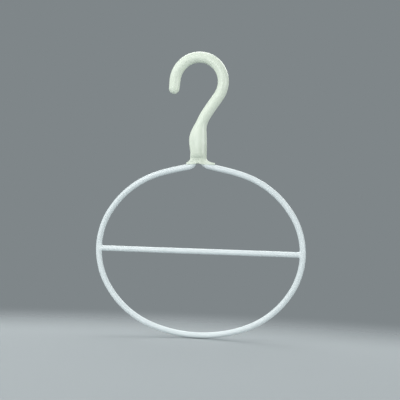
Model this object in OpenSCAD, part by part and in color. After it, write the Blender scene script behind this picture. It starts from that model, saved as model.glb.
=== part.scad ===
// Scarf hanger: an oval ring of dipped steel wire with a crossbar, hung from a moulded hook.
// The origin is the axis of the rail that the hook hangs on: +Z is up, the rail runs along Y,
// and the front is towards -Y.

/* [Ring] */
// Width of the oval ring, over its coating
ring_w = 200; // [180:1:250]
// Height of the oval ring, over its coating
ring_h = 161; // [145:1:180]
// Sideways place of the ring's middle, from the rail's axis
ring_x = 3.5; // [-5:0.5:5]
// Centreline radius of the two side bends
side_r = 66; // [55:1:75]
// Angle that a side bend turns above the level line, and again below it
side_angle = 31; // [22:1:40]
// Angle that the flat bend at the top and bottom turns, each side of the middle
flat_angle = 20; // [17:1:30]
// Diameter of the ring's steel wire
wire_d = 3.8; // [3:0.1:4.4]
// Thickness of the dipped coating on the steel
skin_t = 0.85; // [0.6:0.05:1]

/* [Crossbar] */
// Height of the crossbar over the ring's middle
bar_z = 0; // [-20:1:20]
// Diameter of the crossbar's steel wire
bar_wire_d = 3.4; // [2.6:0.1:3.6]
// How far a weld's upset metal runs along the crossbar
weld_l = 1.4; // [0.8:0.1:2.5]
// Thickness of the upset metal where it meets the ring's wire
weld_t = 0.5; // [0.3:0.05:0.6]
// Length of the coating's flare where the crossbar meets the ring
flare_l = 2.8; // [2:0.1:5]
// Thickness that the flare adds to the coating at the ring
flare_t = 0.6; // [0.3:0.05:0.9]

/* [Legs in the neck] */
// Distance between the axes of the two upturned ends of the ring's wire
leg_pitch = 6.4; // [5.8:0.1:7]
// Centreline radius of the bend from the ring into each leg
leg_bend_r = 8.2; // [6.5:0.1:10]
// Slope of the straight shoulders beside the neck, from level
shoulder_angle = 12; // [9:0.5:15]
// Height of the legs' ends over the saddle's underside
leg_reach = 27; // [22:0.5:30]
// Height that the coating covers the legs, over the saddle's underside
skin_reach = 13; // [11:0.5:16]
// Depth of the grooves that lock the legs in the moulding
groove_depth = 0.4; // [0.2:0.05:0.6]
// Width of each groove, which is also the land between two grooves
groove_w = 2; // [1:0.1:3]
// Number of grooves in each leg
groove_count = 3; // [1:1:3]

/* [Hook] */
// Inner radius of the hook, which rests on the rail
eye_r = 18; // [15:0.5:24]
// Diameter of the hook's rod
rod_d = 10.3; // [8.5:0.1:12]
// Diameter of the rod at the hook's free end
tip_d = 9.9; // [8:0.1:12]
// Length of the straight free end, without its round cap
tip_l = 7.6; // [4:0.1:20]
// Lean of the free end outwards, from plumb
tip_lean = 4; // [0:0.5:15]
// Slope of the throat below the hook, from plumb
throat_angle = 34.5; // [30:0.5:38]
// Centreline radius of the bend from the throat into the neck
neck_bend_r = 45; // [38:1:50]

/* [Neck] */
// Sideways place of the neck, from the rail's axis
neck_x = 0.8; // [-2:0.1:3]
// Width of the neck's barrel where it is widest
barrel_w = 16.8; // [15.5:0.1:20]
// Depth of the neck's barrel, front to back
barrel_d = 13; // [11:0.1:16]
// Length of the barrel below its widest place
barrel_l = 15.8; // [12:0.1:22]
// Angle of the neck's bend over which the rod swells into the barrel
swell_angle = 19; // [14:1:26]
// Width of the waist between the barrel and the saddle
waist_w = 14.5; // [13.8:0.1:15.4]
// Height of the barrel's rounded lower rim
rim_h = 2.4; // [1:0.1:4]

/* [Saddle] */
// Depth of the saddle under the barrel, front to back
saddle_d = 8.4; // [7.8:0.1:10]
// Height of the saddle, from its underside to the waist
saddle_h = 7; // [5:0.1:9]
// Reach of the saddle's two lips along the wires, from the ring's middle
lip_reach = 14; // [12:0.5:18]
// Thickness of the lips at their ends
lip_t = 1.8; // [1.2:0.1:2.4]
// Width of the lips, front to back
lip_d = 5.6; // [4.6:0.1:7]

/* [Fit] */
// Gap that shrinkage leaves between the moulding and the wire moulded into it
mould_gap = 0.02; // [0:0.01:0.1]

/* [Hidden] */

IVORY = [0.90, 0.95, 0.89];
WHITE = [0.93, 0.97, 0.97];
STEEL = [0.62, 0.63, 0.65];

// Sides of the wire's and of the hook's round sections, and the steps along their bends
wire_sides = 16;
hook_sides = 28;
wide_step = 6.5;
tight_step = 12;
hook_step = 6;
swell_step = 3;
// Smooth rods and cones that are cut exactly
$fn = 160;
// A cut runs past the face that it opens by this much.
past = 1;

// The ring's centreline is an oval of three tangent arcs in each quarter: side, corner and flat.
// Its half width, its half height and the side arc leave two equations for the other two radii.
coat_d = wire_d + 2 * skin_t;
bar_coat_d = bar_wire_d + 2 * skin_t;
half_w = (ring_w - coat_d) / 2;
half_h = (ring_h - coat_d) / 2;
flat_start = 90 - flat_angle;
across = [cos(side_angle) - cos(flat_start), cos(flat_start), half_w - side_r * (1 - cos(side_angle))];
up = [sin(flat_start) - sin(side_angle), 1 - sin(flat_start), half_h - side_r * sin(side_angle)];
corner_r = (across[2] * up[1] - across[1] * up[2]) / (across[0] * up[1] - across[1] * up[0]);
flat_r = (up[2] - up[0] * corner_r) / up[1];
side_c = [half_w - side_r, 0];
corner_c = side_c - polar(corner_r - side_r, side_angle);
flat_c = [0, half_h - flat_r];

// A straight shoulder leaves the flat arc at its own slope and rises towards the neck.
shoulder_normal = 90 - shoulder_angle;
shoulder_low = flat_c + polar(flat_r, shoulder_normal);
function shoulder_at(x) = [x, shoulder_low[1] + (shoulder_low[0] - x) * tan(shoulder_angle)];

// The lips' ends lie on the shoulders, which sets the saddle's underside over the ring's middle.
saddle_over_ring = shoulder_at(lip_reach)[1] + coat_d / 2 / cos(shoulder_angle);
skin_top = saddle_over_ring + skin_reach;
leg_top = saddle_over_ring + leg_reach;

// Distance of a leg's axis from the ring's middle, on the right (1) or the left (-1)
function leg_x(side) = side * (neck_x - ring_x) + leg_pitch / 2;
function shoulder_high(side) = shoulder_at(leg_x(side) + leg_bend_r * (1 - sin(shoulder_angle)));
function leg_bend_c(side) = shoulder_high(side) + polar(leg_bend_r, shoulder_normal);

// The hook's centreline: crown arc, straight throat, bend into the upright neck.
crown_r = eye_r + rod_d / 2;
throat_l = (crown_r * cos(throat_angle) - neck_x - neck_bend_r * (1 - cos(throat_angle)))
           / sin(throat_angle);
barrel_top = -(crown_r + neck_bend_r) * sin(throat_angle) - throat_l * cos(throat_angle);
waist_z = barrel_top - barrel_l;
saddle_z = waist_z - saddle_h;
ring_z = saddle_z - saddle_over_ring;

// Half the length of the crossbar's axis, from one side of the ring's centreline to the other
bar_half = side_c[0] + sqrt(side_r * side_r - bar_z * bar_z);
// The upset metal of a weld stops where it has wrapped part of the way round the ring's wire.
weld_end = bar_half - wire_d / 4;

function polar(r, angle) = r * [cos(angle), sin(angle)];
function reversed(list) = [for (i = [len(list) - 1 : -1 : 0]) list[i]];
function from_second(list) = [for (i = [1 : len(list) - 1]) list[i]];
function steps(from, to, step) =
    let (n = ceil(abs(to - from) / step)) [for (i = [0 : n]) from + (to - from) * i / n];

// A section of a rod: its centre in the XZ plane, the angle of its in-plane half width,
// its width in that plane and its depth along Y
function section(centre, angle, width, depth) = [centre, angle, width, depth];
function round_section(centre, angle, d) = section(centre, angle, d, d);
function arc(centre, r, from, to, step, d) =
    [for (a = steps(from, to, step)) round_section(centre + polar(r, a), a, d)];

// Right half of the ring, from the middle of its bottom to the foot of its leg
function half_ring(side, d) = concat(
    arc(-flat_c, flat_r, -90, -flat_start, wide_step, d),
    from_second(arc([corner_c[0], -corner_c[1]], corner_r, -flat_start, -side_angle, wide_step, d)),
    from_second(arc(side_c, side_r, -side_angle, side_angle, wide_step, d)),
    from_second(arc(corner_c, corner_r, side_angle, flat_start, wide_step, d)),
    from_second(arc(flat_c, flat_r, flat_start, shoulder_normal, wide_step, d)),
    leg_foot(side, d));
function leg_foot(side, d) =
    [for (a = steps(shoulder_normal, 0, tight_step))
        round_section(leg_bend_c(side) - polar(leg_bend_r, a), a, d)];
// Upright leg through a list of heights and diameters
function leg(side, levels) = [for (v = levels) round_section([leg_x(side), v[0]], 0, v[1])];

// Heights and diameters of the bare end of a leg. Each groove is closed in by the gap.
function steel_levels(gap) = concat(
    [for (i = [groove_count : -1 : 1])
        let (high = leg_top - groove_w * (2 * i - 1) - gap, low = high - groove_w + 2 * gap,
             full = wire_d + 2 * gap, cut = full - 2 * groove_depth)
            each [[low, full], [low, cut], [high, cut], [high, full]]],
    [[leg_top + gap, wire_d + 2 * gap]]);

// The ring's whole run, from the end of its left leg round to the end of its right leg
function whole_ring(d, levels) = concat(
    [for (s = reversed(from_second(concat(half_ring(-1, d), leg(-1, levels)))))
        section([-s[0][0], s[0][1]], 180 - s[1], s[2], s[3])],
    half_ring(1, d), leg(1, levels));

wire_run = whole_ring(wire_d, steel_levels(0));
coat_run = whole_ring(coat_d, [[skin_top, coat_d]]);
bore_run = whole_ring(wire_d, [[skin_top, wire_d]]);
// The ring's side alone is enough to cut the crossbar's ends.
function side_run(d) = arc(side_c, side_r, -side_angle, side_angle, wide_step, d);

// The hook's run, from the waist of the neck up and round to the free end
rod_l = barrel_l - rim_h;
tip_start = 180 - tip_lean;
function swell(angle) = angle > swell_angle ? 0 : sin(90 * (1 - angle / swell_angle));
function neck_section(angle) = section(
    [neck_x + neck_bend_r, barrel_top] - polar(neck_bend_r, -angle), -angle,
    rod_d + (barrel_w - rod_d) * swell(angle), rod_d + (barrel_d - rod_d) * swell(angle));
function tip_at(s) = polar(crown_r, tip_start) + s * [-sin(tip_start), cos(tip_start)];
hook_run = concat(
    [for (a = [90, 70, 50, 30, 15, 0])
        section([neck_x, waist_z + rim_h * (1 - sin(a))], 0, waist_w,
                saddle_d + (barrel_d - saddle_d) * cos(a))],
    [for (t = steps(0.8, 0.2, 0.2))
        section([neck_x, barrel_top - rod_l * t], 0,
                waist_w + (barrel_w - waist_w) * cos(90 * t), barrel_d)],
    [for (a = steps(0, swell_angle, swell_step)) neck_section(a)],
    from_second([for (a = steps(swell_angle, throat_angle, hook_step)) neck_section(a)]),
    arc([0, 0], crown_r, -throat_angle, tip_start, hook_step, rod_d),
    [for (t = [0.5, 1]) round_section(tip_at(tip_l * t), tip_start, rod_d + (tip_d - rod_d) * t)],
    [for (a = [17, 34, 50, 66, 81])
        round_section(tip_at(tip_l + tip_d / 2 * sin(a)), tip_start, tip_d * cos(a))]);

// Corners of every section, and the four-sided faces between each two neighbours
function corners(run, sides) = [for (s = run, i = [0 : sides - 1])
    let (a = 360 * i / sides, place = s[0] + polar(s[2] / 2 * cos(a), s[1]))
        [place[0], s[3] / 2 * sin(a), place[1]]];
function bands(count, sides) = [for (k = [0 : count - 2], i = [0 : sides - 1])
    let (j = (i + 1) % sides)
        [k * sides + i, (k + 1) * sides + i, (k + 1) * sides + j, k * sides + j]];

// Solid rod through the sections of a run
module rod(run, sides) {
    last = (len(run) - 1) * sides;
    polyhedron(corners(run, sides),
               concat([[for (i = [0 : sides - 1]) i]], bands(len(run), sides),
                      [[for (i = [sides - 1 : -1 : 0]) last + i]]));
}

// Tube between an outer run and an inner run of the same length, open at both ends
module tube(outer, inner, sides) {
    first_in = len(outer) * sides;
    last = (len(outer) - 1) * sides;
    polyhedron(concat(corners(outer, sides), corners(inner, sides)), concat(
        bands(len(outer), sides),
        [for (f = bands(len(inner), sides)) [for (p = reversed(f)) first_in + p]],
        [for (i = [0 : sides - 1]) let (j = (i + 1) % sides)
            each [[i, j, first_in + j, first_in + i],
                  [last + j, last + i, first_in + last + i, first_in + last + j]]]));
}

// Round bar along the crossbar's axis
module bar_rod(d) translate([-bar_half, 0, bar_z]) rotate([0, 90, 0]) cylinder(h = 2 * bar_half, d = d);

// Cone on the crossbar's axis, over a length that ends at a distance from the middle
module bar_cone(side, end, length, d_in, d_end) translate([side * (end - length), 0, bar_z])
    rotate([0, side * 90, 0]) cylinder(h = length, d1 = d_in, d2 = d_end);

// Upset metal of a weld, before the two wires are cut from it
module weld_cone(side) bar_cone(side, weld_end, weld_l + wire_d / 4, bar_wire_d + weld_t / 2,
                                bar_wire_d + 2 * weld_t);

module side_rod(side, d) mirror([side < 0 ? 1 : 0, 0, 0]) rod(side_run(d), wire_sides);

module in_ring_frame() translate([ring_x, 0, ring_z]) children();

// Line of a concave flare from the waist out to the end of a lip
function flare(waist, lip) = [for (a = [0 : 15 : 90])
    [waist + (lip - waist) * (1 - cos(a)), waist_z + (saddle_z + lip_t - waist_z) * sin(a)]];

// Saddle under the barrel: its outline from the front, narrowed to its outline from above
module saddle() {
    left = ring_x - lip_reach;
    right = ring_x + lip_reach;
    waist_left = neck_x - waist_w / 2;
    waist_right = neck_x + waist_w / 2;
    into = rim_h / 2;
    front = concat([[left, saddle_z], [right, saddle_z]], reversed(flare(waist_right, right)),
                   [[waist_right, waist_z + into], [waist_left, waist_z + into]],
                   flare(waist_left, left));
    intersection() {
        translate([0, saddle_d, 0]) rotate([90, 0, 0]) linear_extrude(2 * saddle_d) polygon(front);
        translate([0, 0, saddle_z - past]) linear_extrude(saddle_h + into + 2 * past) {
            translate([left + lip_d / 2, -lip_d / 2]) square([2 * lip_reach - lip_d, lip_d]);
            for (x = [left + lip_d / 2, right - lip_d / 2]) translate([x, 0]) circle(d = lip_d);
            polygon([for (i = [0 : hook_sides - 1]) let (a = 360 * i / hook_sides)
                [neck_x + waist_w / 2 * cos(a), saddle_d / 2 * sin(a)]]);
        }
    }
}

// Room in the moulding for one leg: coated below, bare and grooved above
module leg_room(side) mirror([side < 0 ? 1 : 0, 0, 0]) {
    d = coat_d + 2 * mould_gap;
    shoulder = [round_section(shoulder_low, shoulder_normal, d)];
    rod(concat(shoulder, leg_foot(side, d),
               leg(side, concat([[skin_top + mould_gap, d],
                                 [skin_top + mould_gap, wire_d + 2 * mould_gap]],
                                steel_levels(mould_gap)))), wire_sides);
}

module hook() color(IVORY) difference() {
    union() {
        rod(hook_run, hook_sides);
        saddle();
    }
    in_ring_frame() for (side = [1, -1]) leg_room(side);
}

module ring_wire() color(STEEL) in_ring_frame() rod(wire_run, wire_sides);

module ring_coating() color(WHITE) in_ring_frame() difference() {
    tube(coat_run, bore_run, wire_sides);
    bar_rod(bar_wire_d);
    for (side = [1, -1]) weld_cone(side);
}

module crossbar_wire() color(STEEL) in_ring_frame() difference() {
    bar_rod(bar_wire_d);
    for (side = [1, -1]) side_rod(side, wire_d);
}

module crossbar_coating() color(WHITE) in_ring_frame() difference() {
    union() {
        bar_rod(bar_coat_d);
        for (side = [1, -1]) bar_cone(side, bar_half - coat_d / 2 + flare_t, flare_l + flare_t,
                                      bar_coat_d, bar_coat_d + 2 * flare_t);
    }
    for (side = [1, -1]) {
        side_rod(side, coat_d);
        weld_cone(side);
    }
    bar_rod(bar_wire_d);
}

// Upset metal round one end of the crossbar
module weld(side) color(STEEL) in_ring_frame() difference() {
    weld_cone(side);
    bar_rod(bar_wire_d);
    side_rod(side, wire_d);
}

module weld_left() weld(-1);

module weld_right() weld(1);

hook();
ring_wire();
ring_coating();
crossbar_wire();
crossbar_coating();
weld_left();
weld_right();
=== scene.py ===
import math
from math import acos, cos, radians, sin
import bpy
from mathutils import Matrix, Vector


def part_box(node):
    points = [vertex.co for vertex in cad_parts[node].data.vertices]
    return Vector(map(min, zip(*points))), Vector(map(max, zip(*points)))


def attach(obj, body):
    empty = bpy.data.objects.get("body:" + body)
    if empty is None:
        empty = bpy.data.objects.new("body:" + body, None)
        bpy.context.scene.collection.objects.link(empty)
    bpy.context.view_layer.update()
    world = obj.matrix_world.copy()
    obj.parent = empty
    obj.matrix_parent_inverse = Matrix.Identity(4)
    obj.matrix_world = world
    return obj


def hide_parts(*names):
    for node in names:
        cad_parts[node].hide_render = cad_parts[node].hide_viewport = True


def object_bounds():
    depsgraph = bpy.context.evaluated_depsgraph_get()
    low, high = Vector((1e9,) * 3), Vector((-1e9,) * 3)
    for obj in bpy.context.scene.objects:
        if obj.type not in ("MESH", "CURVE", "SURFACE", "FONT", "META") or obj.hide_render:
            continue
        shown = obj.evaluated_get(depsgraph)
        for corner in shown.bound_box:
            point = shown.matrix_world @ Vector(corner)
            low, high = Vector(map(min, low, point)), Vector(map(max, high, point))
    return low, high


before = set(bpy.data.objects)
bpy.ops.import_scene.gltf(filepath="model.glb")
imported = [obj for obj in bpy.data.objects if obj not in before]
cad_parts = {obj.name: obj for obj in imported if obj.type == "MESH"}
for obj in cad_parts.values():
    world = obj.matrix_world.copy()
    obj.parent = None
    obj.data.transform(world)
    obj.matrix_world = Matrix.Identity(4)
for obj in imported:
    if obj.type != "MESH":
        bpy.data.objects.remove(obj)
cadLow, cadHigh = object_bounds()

# Scarf hanger: a dipped wire ring with a crossbar, on a moulded hook. Sizes are in millimetres.
# The middle of the hook's opening is the origin, +Z is up and the front looks along -Y.
mm = 0.001
ringLow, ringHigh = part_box("ring_coating")
barLow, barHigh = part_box("crossbar_coating")
ringX = (ringLow.x + ringHigh.x) / 2 / mm
ringZ = (barLow.z + barHigh.z) / 2 / mm
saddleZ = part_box("hook")[0].z / mm  # the hook's lowest height
near, onPlane = 0.1, 0.001  # corners this close to a plane are picked with it
pen = {}  # where the open end of the piece being drawn stands, and its heading above +X


# Modelling

def startPiece(name):
    if bpy.context.mode != "OBJECT":
        bpy.ops.object.mode_set(mode="OBJECT")
    bpy.ops.object.select_all(action="DESELECT")
    bpy.ops.mesh.primitive_plane_add(size=mm)
    piece = bpy.context.object
    piece.name = piece.data.name = name
    bpy.ops.object.mode_set(mode="EDIT")
    bpy.ops.mesh.select_mode(type="VERT")
    bpy.ops.mesh.delete(type="VERT")
    return piece


def addLoop(x, z, radius, sides, heading):
    # an open round loop on the middle plane, facing its heading
    bpy.ops.mesh.select_mode(type="VERT")
    bpy.ops.mesh.select_all(action="DESELECT")
    bpy.ops.mesh.primitive_circle_add(vertices=sides, radius=radius * mm, fill_type="NOTHING",
                                      location=(x * mm, 0, z * mm),
                                      rotation=(0, radians(90 - heading), 0))
    pen.update(x=x, z=z, heading=heading)


def swell(width, depth):
    # the open end grows or shrinks by these factors, across and from front to back
    bpy.ops.transform.resize(value=(width, depth, width),
                             center_override=(pen["x"] * mm, 0, pen["z"] * mm))


def push(distance, width=1, depth=1):
    # one more loop straight ahead
    way = radians(pen["heading"])
    step = Vector((cos(way), 0, sin(way))) * distance
    bpy.ops.mesh.extrude_region_move(TRANSFORM_OT_translate={"value": step * mm})
    pen.update(x=pen["x"] + step.x, z=pen["z"] + step.z)
    swell(width, depth)


def turn(angle, radius, width=1, depth=1):
    # one more loop round a bend. A positive angle turns the heading from +X to +Z,
    # which is the way that transform.rotate turns about Y with no window.
    side = math.copysign(1, angle)
    way = radians(pen["heading"] + 90 * side)
    centre = Vector((pen["x"] + radius * cos(way), 0, pen["z"] + radius * sin(way)))
    bpy.ops.mesh.extrude_region_move(TRANSFORM_OT_translate={"value": (0, 0, 0)})
    bpy.ops.transform.rotate(value=radians(angle), orient_axis="Y", center_override=centre * mm)
    pen["heading"] += angle
    back = radians(pen["heading"] - 90 * side)
    pen.update(x=centre.x + radius * cos(back), z=centre.z + radius * sin(back))
    swell(width, depth)


def bend(angle, radius, steps):
    for _ in range(steps):
        turn(angle / steps, radius)


def pick(kind, test, keep=False):
    # selects the corners or faces that pass the test, or keeps those of the selected ones
    bpy.ops.object.mode_set(mode="OBJECT")
    mesh = bpy.context.object.data
    items = mesh.vertices if kind == "VERT" else mesh.polygons
    chosen = [item.index for item in items if test(item) and (item.select or not keep)]
    bpy.ops.object.mode_set(mode="EDIT")
    bpy.ops.mesh.select_mode(type=kind)
    bpy.ops.mesh.select_all(action="DESELECT")
    bpy.ops.object.mode_set(mode="OBJECT")
    items = mesh.vertices if kind == "VERT" else mesh.polygons
    for index in chosen:
        items[index].select = True
    bpy.ops.object.mode_set(mode="EDIT")


def pickOpenEnds(test):
    bpy.ops.mesh.select_mode(type="VERT")
    bpy.ops.mesh.select_all(action="DESELECT")
    bpy.ops.mesh.select_non_manifold(use_wire=False, use_boundary=True, use_multi_face=False,
                                     use_non_contiguous=False, use_verts=False)
    pick("VERT", test, keep=True)


def finishModelling():
    bpy.ops.mesh.select_all(action="SELECT")
    bpy.ops.mesh.remove_doubles(threshold=0.0001 * mm)
    bpy.ops.mesh.normals_make_consistent(inside=False)
    bpy.ops.object.mode_set(mode="OBJECT")


def applyModifier(piece, kind, **settings):
    bpy.ops.object.select_all(action="DESELECT")
    piece.select_set(True)
    bpy.context.view_layer.objects.active = piece
    modifier = piece.modifiers.new(kind.title(), kind)
    for name, value in settings.items():
        setattr(modifier, name, value)
    bpy.ops.object.modifier_apply(modifier=modifier.name)


def smoothShade(piece, angle):
    bpy.ops.object.select_all(action="DESELECT")
    piece.select_set(True)
    bpy.context.view_layer.objects.active = piece
    bpy.ops.object.shade_smooth_by_angle(angle=radians(angle))


# Materials

def fromHex(code):
    parts = [int(code[i:i + 2], 16) / 255 for i in (1, 3, 5)]
    return tuple(c / 12.92 if c <= 0.04045 else ((c + 0.055) / 1.055) ** 2.4 for c in parts) + (1,)


def addNode(tree, kind, settings=None, links=None, **inputs):
    # settings are the node's own, inputs are numbers or colours, links are (input, node, output)
    node = tree.nodes.new(kind)
    for name, value in (settings or {}).items():
        setattr(node, name, value)
    for name, value in inputs.items():
        node.inputs[name.replace("_", " ")].default_value = value
    for socket, source, output in links or []:
        tree.links.new(source.outputs[output], node.inputs[socket])
    return node


def startMaterial(name, **surface):
    material = bpy.data.materials.new(name)
    material.use_nodes = True
    tree = material.node_tree
    shader = tree.nodes["Principled BSDF"]
    for socket, value in surface.items():
        shader.inputs[socket.replace("_", " ")].default_value = value
    place = addNode(tree, "ShaderNodeTexCoord")
    return material, tree, shader, place


# Wire ring and crossbar in one dipped skin

skin = {
    "wireDiameter": 5.5,      # over the skin
    "barDiameter": 5.1,
    "thickness": 0.85,
    "sideRadius": 66,         # the ring's centreline: an arc at each side,
    "sideAngle": 31,          # this far above and below the middle
    "flatAngle": 20,          # half of the flat arc at the bottom
    "shoulderAngle": 12,      # slope of the ring's ends where they leave the oval
    "leftBendRadius": 6.5,
    "rightBendRadius": 9.4,
    "legPitch": 6.4,          # between the two upright ends
    "legReach": 13,           # of their room in the neck, over the saddle's underside
    "legStep": 2,
    "neckX": 0.8,             # middle of the hook's neck
    "teeAngle": 1.4,          # between the loops that the crossbar's hole takes of the ring
    "teeFacing": 0.3,         # least share of a face's normal towards the bar, for the hole
    "filletStart": 0.9,       # distance from the ring's skin at which the bar starts to flare
    "filletStep": 1,
    "sides": 20,
    "barSides": 24,
    "barSteps": 18,
    "flatSteps": 7,           # loops along each arc
    "cornerSteps": 10,
    "sideSteps": 7,
    "teeSteps": 4,
    "topSteps": 3,
    "shoulderSteps": 5,
    "bendSteps": 7,
    "smoothAngle": 50,
}


def ovalOf(values, width, height):
    # radii of the corner arc and the flat arc that meet the side arc without a kink
    side, flat = radians(values["sideAngle"]), radians(90 - values["flatAngle"])
    across = (cos(side) - cos(flat), cos(flat), width - values["sideRadius"] * (1 - cos(side)))
    up = (sin(flat) - sin(side), 1 - sin(flat), height - values["sideRadius"] * sin(side))
    corner = (across[2] * up[1] - across[1] * up[2]) / (across[0] * up[1] - across[1] * up[0])
    return corner, (up[2] - up[0] * corner) / up[1]


halfWidth = (ringHigh.x - ringLow.x) / 2 / mm - skin["wireDiameter"] / 2
halfHeight = ringZ - ringLow.z / mm - skin["wireDiameter"] / 2
cornerRadius, flatRadius = ovalOf(skin, halfWidth, halfHeight)
slope = radians(skin["shoulderAngle"])
shoulderX = flatRadius * sin(slope)
shoulderZ = halfHeight - flatRadius * (1 - cos(slope))


def legX(side):
    # distance of a leg's axis from the ring's middle
    return side * (skin["neckX"] - ringX) + skin["legPitch"] / 2


def drawShoulder(side, steps):
    # the straight slope up to the hook, and the bend into the upright leg
    radius = skin["rightBendRadius"] if side > 0 else skin["leftBendRadius"]
    reach = legX(side) + radius * (1 - sin(slope))
    length = (shoulderX - reach) / cos(slope)
    for _ in range(steps):
        push(length / steps)
    bend(-side * (90 - skin["shoulderAngle"]), radius, skin["bendSteps"])


def drawHalfRing(side):
    # from the middle of the bottom round to the leg inside the hook's neck
    tee = skin["teeSteps"] * skin["teeAngle"]
    corner = side * (90 - skin["flatAngle"] - skin["sideAngle"])
    beside = side * (skin["sideAngle"] - tee / 2)
    bend(side * skin["flatAngle"], flatRadius, skin["flatSteps"])
    bend(corner, cornerRadius, skin["cornerSteps"])
    bend(beside, skin["sideRadius"], skin["sideSteps"])
    bend(side * tee, skin["sideRadius"], skin["teeSteps"])
    bend(beside, skin["sideRadius"], skin["sideSteps"])
    bend(corner, cornerRadius, skin["cornerSteps"])
    bend(side * (skin["flatAngle"] - skin["shoulderAngle"]), flatRadius, skin["topSteps"])
    drawShoulder(side, skin["shoulderSteps"])
    # up the leg. The skin ends a little short of its room, out of sight.
    push(skin["legStep"])
    for _ in range(2):
        push((saddleZ + skin["legReach"] - pen["z"]) / 2)


def openTee(side):
    # a hole in the ring's inner face for the crossbar, and the two rims bridged
    inside = ringX + side * (halfWidth - skin["wireDiameter"] / 2)
    depth = skin["wireDiameter"] / 2
    half = skin["teeSteps"] / 2 * radians(skin["teeAngle"]) * skin["sideRadius"]
    bpy.ops.mesh.select_mode(type="FACE")
    pick("FACE", lambda f: abs(f.center.x / mm - inside) < depth
         and abs(f.center.z / mm - ringZ) < half and -side * f.normal.x > skin["teeFacing"])
    bpy.ops.mesh.delete(type="FACE")
    pickOpenEnds(lambda v: abs(v.co.x / mm - inside) < depth
                 and abs(v.co.z / mm - ringZ) < 2 * half)
    bpy.ops.mesh.bridge_edge_loops()


def makeSkin():
    piece = startPiece("dippedSkin")
    bottom = ringZ - halfHeight
    addLoop(ringX, bottom, skin["wireDiameter"] / 2, skin["sides"], 0)
    drawHalfRing(1)
    pick("VERT", lambda v: abs(v.co.x / mm - ringX) < near and v.co.z / mm < bottom + halfHeight)
    pen.update(x=ringX, z=bottom, heading=180)
    drawHalfRing(-1)
    bpy.ops.mesh.select_all(action="SELECT")
    bpy.ops.mesh.normals_make_consistent(inside=False)
    barHalf = halfWidth - skin["wireDiameter"] / 2 - skin["filletStart"]
    addLoop(ringX - barHalf, ringZ, skin["barDiameter"] / 2, skin["barSides"], 0)
    push(skin["filletStep"])
    for _ in range(skin["barSteps"]):
        push(2 * (barHalf - skin["filletStep"]) / skin["barSteps"])
    push(skin["filletStep"])
    for side in (1, -1):
        openTee(side)
    finishModelling()
    applyModifier(piece, "SOLIDIFY", thickness=skin["thickness"] * mm, offset=-1)
    applyModifier(piece, "SUBSURF", levels=2, render_levels=2)
    smoothShade(piece, skin["smoothAngle"])
    return piece


# Moulded hook

hook = {
    "eyeRadius": 18,          # of the opening
    "rodDiameter": 10.3,
    "tipDiameter": 9.9,
    "tipLength": 7.6,
    "tipLean": 4,
    "tipShares": (0.33, 0.67, 1),  # of the change to the tip's diameter, loop by loop
    "tipTurns": (0, 15, 30, 45, 58, 70, 80, 86),  # angles of the loops round the blunt end
    "throatAngle": 34.5,
    "neckBendRadius": 45,
    "neckX": 0.8,
    "barrelWidth": 16.8,
    "barrelDepth": 13,
    "barrelLength": 16.8,
    "barrelShift": -0.5,
    "swellAngle": 24,         # of the neck's bend, over which the barrel narrows into the rod
    "waistWidth": 15.5,
    "waistDepth": 8.7,
    "waistShift": 0.4,        # the barrel's right side stays straight, its left side bulges
    "rimHeight": 5.4,         # over which the barrel rounds in to the waist
    "rimCurve": 3,
    "saddleHeight": 6,
    "footDepth": 9,           # the saddle flares forwards and backwards too
    "lipReach": 13.4,
    "lipThickness": 1.8,
    "lipRoot": 8.6,           # depth of the lips, front to back, at the saddle and at their ends
    "lipDepth": 6.4,
    "lipShares": (0.9, 0.76, 0.6, 0.44, 0.3, 0.18, 0.09, 0.04, 0),  # loops, by way still to go
    "lipFacing": 0.55,        # least share sideways of the normal of the faces that become a lip
    "lipFlattening": 0.35,    # what each loop keeps of the last one's curve, seen from above
    "lipEdge": 0.3,
    "archHeight": 1.2,        # of the underside between the two legs
    "archShift": 0.7,
    "archReach": 4.5,
    "creaseDepth": 0.9,       # of the hollow over the arch, in front and behind
    "creaseReach": 2.4,
    "creaseHeight": 4,
    "creaseStart": 0.45,      # share of the waist's depth, which leaves out corners underneath
    "ridgeHeight": 0.06,      # of the parting line
    "shadeX": 4.5,            # middle of a soft ball of painted shade, in which the plastic is a little darker. It is fitted to the photo, where the barrel's lower right side, turned away from the light, is darker in shade. It is full up to shadeCore and fades out at shadeReach.
    "shadeHeight": 9,         # It is fitted to the photo, where the barrel's lower right side is
    "shadeCore": 5,           # darker, perhaps because the moulding is thick there. It is full up
    "shadeReach": 14.5,       # to shadeCore and fades out at shadeReach.
    "gap": 0.02,              # between the moulding and what it holds
    "wireDiameter": 3.8,
    "legReach": 27,           # of the bare legs' room, over the saddle's underside
    "roomTaper": 0.1,         # height over which the room narrows from the skin to the bare leg
    "roomSteps": 2,
    "sides": 32,
    "rimSteps": 7,            # loops along each length
    "barrelSteps": 7,
    "neckSteps": 14,
    "throatSteps": 7,
    "crownSteps": 40,
    "saddleSteps": 7,
    "smoothAngle": 45,
}
waistX = hook["neckX"] + hook["waistShift"]
waistZ = saddleZ + hook["saddleHeight"]


def growTo(shape, width, depth, move):
    # one more loop, resized from the last width and depth to the next ones
    move(width / shape["width"], depth / shape["depth"])
    shape.update(width=width, depth=depth)


def shiftX(distance):
    bpy.ops.transform.translate(value=(distance * mm, 0, 0))
    pen["x"] += distance


def drawBarrel(shape):
    # the rounded lower rim, then the sides that widen towards the top
    full, flat, width = hook["barrelDepth"], hook["waistDepth"], hook["waistWidth"]
    steps = hook["rimSteps"]
    for step in range(1, steps + 1):
        depth = full - (full - flat) * (1 - step / steps) ** hook["rimCurve"]
        growTo(shape, width, depth, lambda w, d: push(hook["rimHeight"] / steps, w, d))
    steps = hook["barrelSteps"]
    length = (hook["barrelLength"] - hook["rimHeight"]) / steps
    for step in range(1, steps + 1):
        grown = sin(radians(90 * step / steps))
        growTo(shape, width + (hook["barrelWidth"] - width) * grown, full,
               lambda w, d: push(length, w, d))
        shiftX((hook["barrelShift"] - hook["waistShift"]) / steps)


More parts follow.
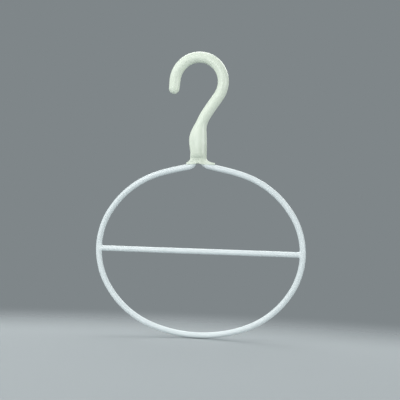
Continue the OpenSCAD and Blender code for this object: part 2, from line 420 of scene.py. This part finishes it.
def drawNeck(shape):
    # it narrows into the rod round the neck's bend, and is back in line half way round it
    rod, steps = hook["rodDiameter"], hook["neckSteps"]
    for step in range(1, steps + 1):
        angle = hook["throatAngle"] * step / steps
        share = (1 + cos(radians(180 * min(1, angle / hook["swellAngle"])))) / 2
        growTo(shape, rod + (hook["barrelWidth"] - rod) * share,
               rod + (hook["barrelDepth"] - rod) * share,
               lambda w, d: turn(-hook["throatAngle"] / steps, hook["neckBendRadius"], w, d))
        if step <= steps / 2:
            shiftX(-hook["barrelShift"] / (steps / 2))


def drawCrown(shape):
    # the straight throat, the round crown over the opening, and the blunt tip
    rod, tip = hook["rodDiameter"], hook["tipDiameter"]
    crown = hook["eyeRadius"] + rod / 2
    throat = radians(hook["throatAngle"])
    length = (crown * cos(throat) - hook["neckX"]
              - hook["neckBendRadius"] * (1 - cos(throat))) / sin(throat)
    for _ in range(hook["throatSteps"]):
        push(length / hook["throatSteps"])
    bend(180 - hook["tipLean"] + hook["throatAngle"], crown, hook["crownSteps"])
    step = hook["tipLength"] / len(hook["tipShares"])
    for share in hook["tipShares"]:
        size = rod + (tip - rod) * share
        growTo(shape, size, size, lambda w, d: push(step, w, d))
    for last, angle in zip(hook["tipTurns"], hook["tipTurns"][1:]):
        forward = tip / 2 * (sin(radians(angle)) - sin(radians(last)))
        size = tip * cos(radians(angle))
        growTo(shape, size, size, lambda w, d: push(forward, w, d))
    bpy.ops.mesh.edge_face_add()


def drawSaddle(shape):
    # down from the waist, deeper towards the foot
    steps = hook["saddleSteps"]
    for step in range(1, steps + 1):
        spread = 1 - cos(radians(90 * step / steps))
        depth = hook["waistDepth"] + (hook["footDepth"] - hook["waistDepth"]) * spread
        growTo(shape, hook["waistWidth"], depth,
               lambda w, d: push(hook["saddleHeight"] / steps, w, d))
    bpy.ops.mesh.fill_grid(span=hook["sides"] // 4, offset=hook["sides"] // 8)


def drawArch():
    # the underside rises between the two legs, with a soft crease above it, in front and behind
    rise = Vector((hook["archShift"], 0, hook["archHeight"])) * mm
    pick("VERT", lambda v: abs(v.co.x / mm - waistX) < near and v.co.z / mm < saddleZ + near)
    bpy.ops.transform.translate(value=rise, use_proportional_edit=True,
                                proportional_edit_falloff="SMOOTH",
                                proportional_size=hook["archReach"] * mm)
    reach, top = hook["archShift"] + 2 * near, saddleZ + hook["creaseHeight"]
    inner = hook["creaseStart"] * hook["waistDepth"]
    pick("VERT", lambda v: abs(v.co.x / mm - waistX) < reach and v.co.z / mm < top
         and abs(v.co.y / mm) > inner)
    bpy.ops.transform.resize(value=(1, 1 - 2 * hook["creaseDepth"] / hook["footDepth"], 1),
                             center_override=(0, 0, 0), use_proportional_edit=True,
                             proportional_edit_falloff="SMOOTH",
                             proportional_size=hook["creaseReach"] * mm)


def drawLip(side):
    # the end faces of the saddle are pulled out along the wire, thinner and narrower
    rootX = waistX + side * hook["waistWidth"] / 2
    endX = ringX + side * hook["lipReach"]
    reach = abs(endX - rootX)
    endZ = saddleZ + hook["lipThickness"]
    narrowest = hook["lipDepth"] / hook["lipRoot"]
    pick("FACE", lambda f: side * f.normal.x > hook["lipFacing"]
         and saddleZ + near < f.center.z / mm < waistZ
         and side * (f.center.x / mm - hook["neckX"]) > 0)
    place, high, wide = rootX, waistZ, 1
    for share in hook["lipShares"]:
        x = endX - side * reach * share
        z = waistZ + (endZ - waistZ) * sin(acos(share))
        ahead = min(1, 2 * reach * share / hook["lipDepth"])  # the last stretch rounds off
        width = (narrowest + (1 - narrowest) * share) * (0.5 + 0.5 * sin(acos(1 - ahead)))
        step = ((x - place) * mm, 0, 0)
        bpy.ops.mesh.extrude_region_move(TRANSFORM_OT_translate={"value": step})
        bpy.ops.transform.resize(value=(hook["lipFlattening"], 1, 1),
                                 center_override=(x * mm, 0, 0))
        bpy.ops.transform.resize(value=(1, width / wide, (z - saddleZ) / (high - saddleZ)),
                                 center_override=(0, 0, saddleZ * mm))
        place, high, wide = x, z, width
    bpy.ops.mesh.inset(thickness=hook["lipEdge"] * mm)


def drawPartingLine():
    # the fine ridge where the two halves of the mould met
    bpy.ops.object.mode_set(mode="EDIT")
    pick("VERT", lambda v: abs(v.co.y / mm) < onPlane and v.co.z / mm > waistZ)
    bpy.ops.transform.shrink_fatten(value=hook["ridgeHeight"] * mm)
    bpy.ops.object.mode_set(mode="OBJECT")


def makeLegRoom():
    # what the moulding leaves free for the skin and for the bare ends of the wire
    room = startPiece("legRoom")
    narrow = hook["wireDiameter"] / skin["wireDiameter"]
    for side in (1, -1):
        heading = 90 + side * (90 - skin["shoulderAngle"])
        addLoop(ringX + side * shoulderX, ringZ + shoulderZ,
                skin["wireDiameter"] / 2 + hook["gap"], hook["sides"], heading)
        bpy.ops.mesh.edge_face_add()
        drawShoulder(side, hook["roomSteps"])
        push(saddleZ + skin["legReach"] + hook["gap"] - pen["z"])
        push(hook["roomTaper"], narrow, narrow)
        push(saddleZ + hook["legReach"] + hook["gap"] - pen["z"])
        bpy.ops.mesh.edge_face_add()
    finishModelling()
    return room


def makeHook():
    piece = startPiece("mouldedHook")
    waist = {"width": hook["waistWidth"], "depth": hook["waistDepth"]}
    addLoop(waistX, waistZ, hook["waistWidth"] / 2, hook["sides"], 90)
    swell(1, waist["depth"] / waist["width"])
    shape = dict(waist)
    drawBarrel(shape)
    drawNeck(shape)
    drawCrown(shape)
    pick("VERT", lambda v: abs(v.co.z / mm - waistZ) < onPlane)
    pen.update(x=waistX, z=waistZ, heading=-90)
    drawSaddle(dict(waist))
    bpy.ops.mesh.select_all(action="SELECT")
    bpy.ops.mesh.normals_make_consistent(inside=False)
    for side in (1, -1):
        drawLip(side)
    drawArch()
    finishModelling()
    applyModifier(piece, "SUBSURF", levels=2, render_levels=2)
    drawPartingLine()
    room = makeLegRoom()
    applyModifier(piece, "BOOLEAN", operation="DIFFERENCE", solver="EXACT", object=room)
    bpy.data.objects.remove(room)
    smoothShade(piece, hook["smoothAngle"])
    return piece


def showAs(piece, material, slot, *nodes):
    piece.data.materials.clear()
    piece.data.materials.append(material)
    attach(piece, "root")
    if nodes:
        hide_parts(*nodes)


def mouldedPolypropylene():
    # injection moulded and left as it came out: waxy, a little see-through, with a soft even gloss
    material, tree, shader, place = startMaterial(
        "mouldedPolypropylene", IOR=1.49, Subsurface_Weight=0.12, Subsurface_Scale=1.5 * mm,
        Subsurface_Radius=(1, 1, 1))
    flow = addNode(tree, "ShaderNodeTexNoise", {}, [("Vector", place, "Object")],
                   Scale=1 / (12 * mm), Detail=2, Distortion=0.6)  # how the melt ran
    tone = addNode(tree, "ShaderNodeMixRGB", {}, [("Fac", flow, "Fac")],
                   Color1=fromHex("#E5EDDD"), Color2=fromHex("#DFE9DA"))
    # painted shade: the colour is multiplied up to about 6 % darker in a soft ball on the barrel's
    # lower right, which is turned away from the light
    shadeCentre = (hook["shadeX"] * mm, 0, (saddleZ + hook["shadeHeight"]) * mm)
    away = addNode(tree, "ShaderNodeVectorMath", {"operation": "DISTANCE"},
                   [(0, place, "Object")])
    away.inputs[1].default_value = shadeCentre
    paintedShade = addNode(tree, "ShaderNodeMapRange", {"interpolation_type": "SMOOTHSTEP"},
                    [("Value", away, "Value")], From_Min=hook["shadeReach"] * mm,
                    From_Max=hook["shadeCore"] * mm)
    body = addNode(tree, "ShaderNodeMixRGB", {"blend_type": "MULTIPLY"},
                   [("Fac", paintedShade, "Result"), ("Color1", tone, "Color")], Color2=fromHex("#F0F1EF"))
    cloud = addNode(tree, "ShaderNodeTexNoise", {}, [("Vector", place, "Object")],
                    Scale=1 / (3 * mm), Detail=3)
    gloss = addNode(tree, "ShaderNodeMapRange", {}, [("Value", cloud, "Fac")],
                    To_Min=0.28, To_Max=0.42)
    sink = addNode(tree, "ShaderNodeBump", {}, [("Height", flow, "Fac")], Distance=0.08 * mm)
    grain = addNode(tree, "ShaderNodeTexNoise", {}, [("Vector", place, "Object")],
                    Scale=1 / (0.9 * mm), Detail=2)  # the mould's own grain, drawn coarser to show
    relief = addNode(tree, "ShaderNodeBump", {},
                     [("Height", grain, "Fac"), ("Normal", sink, "Normal")], Distance=0.003 * mm)
    tree.links.new(body.outputs["Color"], shader.inputs["Base Color"])
    tree.links.new(gloss.outputs["Result"], shader.inputs["Roughness"])
    tree.links.new(relief.outputs["Normal"], shader.inputs["Normal"])
    return material


def dippedVinyl():
    # the wire was dipped hot in plastisol and cured: a satin skin, faintly wavy, with orange peel
    material, tree, shader, place = startMaterial("dippedVinyl", IOR=1.53)
    wave = addNode(tree, "ShaderNodeTexNoise", {}, [("Vector", place, "Object")],
                   Scale=1 / (6.5 * mm), Detail=1)  # where the skin ran a little thicker
    tone = addNode(tree, "ShaderNodeMixRGB", {}, [("Fac", wave, "Fac")],
                   Color1=fromHex("#DAE3E4"), Color2=fromHex("#E3EBEC"))
    peel = addNode(tree, "ShaderNodeTexNoise", {}, [("Vector", place, "Object")],
                   Scale=1 / (1.1 * mm), Detail=2)  # drawn coarser than it is, to show
    gloss = addNode(tree, "ShaderNodeMapRange", {}, [("Value", peel, "Fac")],
                    To_Min=0.28, To_Max=0.44)
    swellUp = addNode(tree, "ShaderNodeBump", {}, [("Height", wave, "Fac")], Distance=0.08 * mm)
    relief = addNode(tree, "ShaderNodeBump", {},
                     [("Height", peel, "Fac"), ("Normal", swellUp, "Normal")], Distance=0.004 * mm)
    tree.links.new(tone.outputs["Color"], shader.inputs["Base Color"])
    tree.links.new(gloss.outputs["Result"], shader.inputs["Roughness"])
    tree.links.new(relief.outputs["Normal"], shader.inputs["Normal"])
    return material


def drawnSteel():
    # low-carbon wire pulled through a die: grey, with fine lines and a dull shine
    material, tree, shader, place = startMaterial("drawnSteel", Metallic=1)
    along = addNode(tree, "ShaderNodeMapping", {}, [("Vector", place, "Object")],
                    Scale=(0.04, 1, 1))
    lines = addNode(tree, "ShaderNodeTexNoise", {}, [("Vector", along, "Vector")],
                    Scale=1 / (0.3 * mm), Detail=3)
    tone = addNode(tree, "ShaderNodeMixRGB", {}, [("Fac", lines, "Fac")],
                   Color1=fromHex("#8E9093"), Color2=fromHex("#B4B6B8"))
    gloss = addNode(tree, "ShaderNodeMapRange", {}, [("Value", lines, "Fac")],
                    To_Min=0.28, To_Max=0.42)
    tree.links.new(tone.outputs["Color"], shader.inputs["Base Color"])
    tree.links.new(gloss.outputs["Result"], shader.inputs["Roughness"])
    return material


def weldedSteel():
    # metal squeezed out by the resistance weld: rough, with brown and blue heat tint
    material, tree, shader, place = startMaterial("weldedSteel", Metallic=1)
    scale = addNode(tree, "ShaderNodeTexNoise", {}, [("Vector", place, "Object")],
                    Scale=1 / (1.2 * mm), Detail=4)
    tone = addNode(tree, "ShaderNodeMixRGB", {}, [("Fac", scale, "Fac")],
                   Color1=fromHex("#5B5148"), Color2=fromHex("#5F6C80"))
    gloss = addNode(tree, "ShaderNodeMapRange", {}, [("Value", scale, "Fac")],
                    To_Min=0.5, To_Max=0.75)
    relief = addNode(tree, "ShaderNodeBump", {}, [("Height", scale, "Fac")], Distance=0.1 * mm)
    tree.links.new(tone.outputs["Color"], shader.inputs["Base Color"])
    tree.links.new(gloss.outputs["Result"], shader.inputs["Roughness"])
    tree.links.new(relief.outputs["Normal"], shader.inputs["Normal"])
    return material


hookPiece = makeHook()
showAs(hookPiece, mouldedPolypropylene(), "hook_plastic", "hook")
print("hook", len(hookPiece.data.polygons))
skinPiece = makeSkin()
showAs(skinPiece, dippedVinyl(), "coating", "ring_coating", "crossbar_coating")
print("skin", len(skinPiece.data.polygons))
wireMaterial, weldMaterial = drawnSteel(), weldedSteel()
for name, material in (("ring_wire", wireMaterial), ("crossbar_wire", wireMaterial),
                       ("weld_left", weldMaterial), ("weld_right", weldMaterial)):
    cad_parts[name].data.materials.clear()
    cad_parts[name].data.materials.append(material)
print("steel inside the skin")


# Stage, light and camera

studio = {
    "floorColour": "#A3A9AB",
    "backColour": "#7F8689",
    "boardRadius": 2000,      # of the whole floor
    "boardSides": 96,
    "floorRadius": 720,       # from floorCentre to where the floor is half faded out
    "floorCentre": -600,      # in front of the object
    "floorFade": 240,         # over which it fades into the backdrop
    "azimuth": 13.58,         # of the camera, to the right of the front
    "distance": 1000,
    "targetX": 3.7,
    "targetZ": -109.3,
    "focalPixels": 1079,
    "pictureWidth": 400,      # in the same pixels
    "sensorWidth": 36,
    "roll": 1.39,
    "lightsAimZ": -100,
    "lights": [               # each softbox's place and size in metres, and its watts
        ("keyLight", (-0.9, -1.0, 0.7), 1.0, 12.4),
        ("sideLight", (-1.35, -0.1, 0.45), 1.0, 3.8),
        ("fillLight", (1.35, -0.55, 0.12), 0.65, 8),
        ("lowLight", (-0.3, -1.6, 0.08), 0.6, 5.2),
        ("topLight", (-0.1, 0.3, 1.2), 0.9, 4.4),
        ("backLeftLight", (-0.5, 1.1, 0.9), 1.0, 9),
        ("backRightLight", (0.6, 1.1, 0.8), 1.0, 9),
    ],
}


def makeFloor():
    bpy.ops.object.select_all(action="DESELECT")
    bpy.ops.mesh.primitive_circle_add(vertices=studio["boardSides"], fill_type="NGON",
                                      radius=studio["boardRadius"] * mm,
                                      location=(0, 0, cadLow.z))
    floor = bpy.context.object
    floor.name = "floor"
    bpy.ops.object.transform_apply(location=True, rotation=True, scale=True)
    # matt painted board, pale in a painted pool of light round the object, and seen through where
    # it fades out
    material, tree, shader, place = startMaterial(
        "paintedBoard", Roughness=0.9, Specular_IOR_Level=0.1,
        Base_Color=fromHex(studio["floorColour"]))
    centre = (ringX * mm, studio["floorCentre"] * mm, cadLow.z)
    away = addNode(tree, "ShaderNodeVectorMath", {"operation": "DISTANCE"},
                   [(0, place, "Object")])
    away.inputs[1].default_value = centre
    fade = addNode(tree, "ShaderNodeMapRange", {"interpolation_type": "SMOOTHSTEP"},
                   [("Value", away, "Value")],
                   From_Min=(studio["floorRadius"] - studio["floorFade"] / 2) * mm,
                   From_Max=(studio["floorRadius"] + studio["floorFade"] / 2) * mm)
    clear = addNode(tree, "ShaderNodeBsdfTransparent")
    mix = addNode(tree, "ShaderNodeMixShader", {},
                  [("Fac", fade, "Result"), (1, shader, "BSDF"), (2, clear, "BSDF")])
    tree.links.new(mix.outputs["Shader"], tree.nodes["Material Output"].inputs["Surface"])
    floor.data.materials.append(material)


def addLight(name, place, size, energy, target):
    bpy.ops.object.light_add(type="AREA", location=place)
    light = bpy.context.object
    light.name = name
    light.data.size = size
    light.data.energy = energy
    light.rotation_euler = (Vector(target) - Vector(place)).to_track_quat("-Z", "Y").to_euler()
    return light


def makeStudio():
    makeFloor()
    middle = (ringX * mm, 0, studio["lightsAimZ"] * mm)
    for name, place, size, watts in studio["lights"]:
        addLight(name, place, size, watts, middle)
    world = bpy.data.worlds.new("studioWorld")
    bpy.context.scene.world = world
    world.use_nodes = True
    background = world.node_tree.nodes["Background"]
    background.inputs["Color"].default_value = fromHex(studio["backColour"])
    bpy.context.scene.view_settings.view_transform = "Standard"


def makeCamera():
    turnAngle, roll = radians(studio["azimuth"]), radians(studio["roll"])
    back = Vector((sin(turnAngle), -cos(turnAngle), 0))
    right = Vector((cos(turnAngle), sin(turnAngle), 0))
    up = Vector((0, 0, 1))
    tilted = (right * cos(roll) + up * sin(roll), up * cos(roll) - right * sin(roll), back)
    place = Vector((studio["targetX"], 0, studio["targetZ"])) + back * studio["distance"]
    bpy.ops.object.camera_add()
    camera = bpy.context.object
    camera.matrix_world = Matrix.Translation(place * mm) @ Matrix(tilted).transposed().to_4x4()
    camera.data.sensor_width = studio["sensorWidth"]
    camera.data.lens = studio["focalPixels"] * studio["sensorWidth"] / studio["pictureWidth"]
    bpy.context.scene.camera = camera


makeStudio()
makeCamera()
print("studio ready")
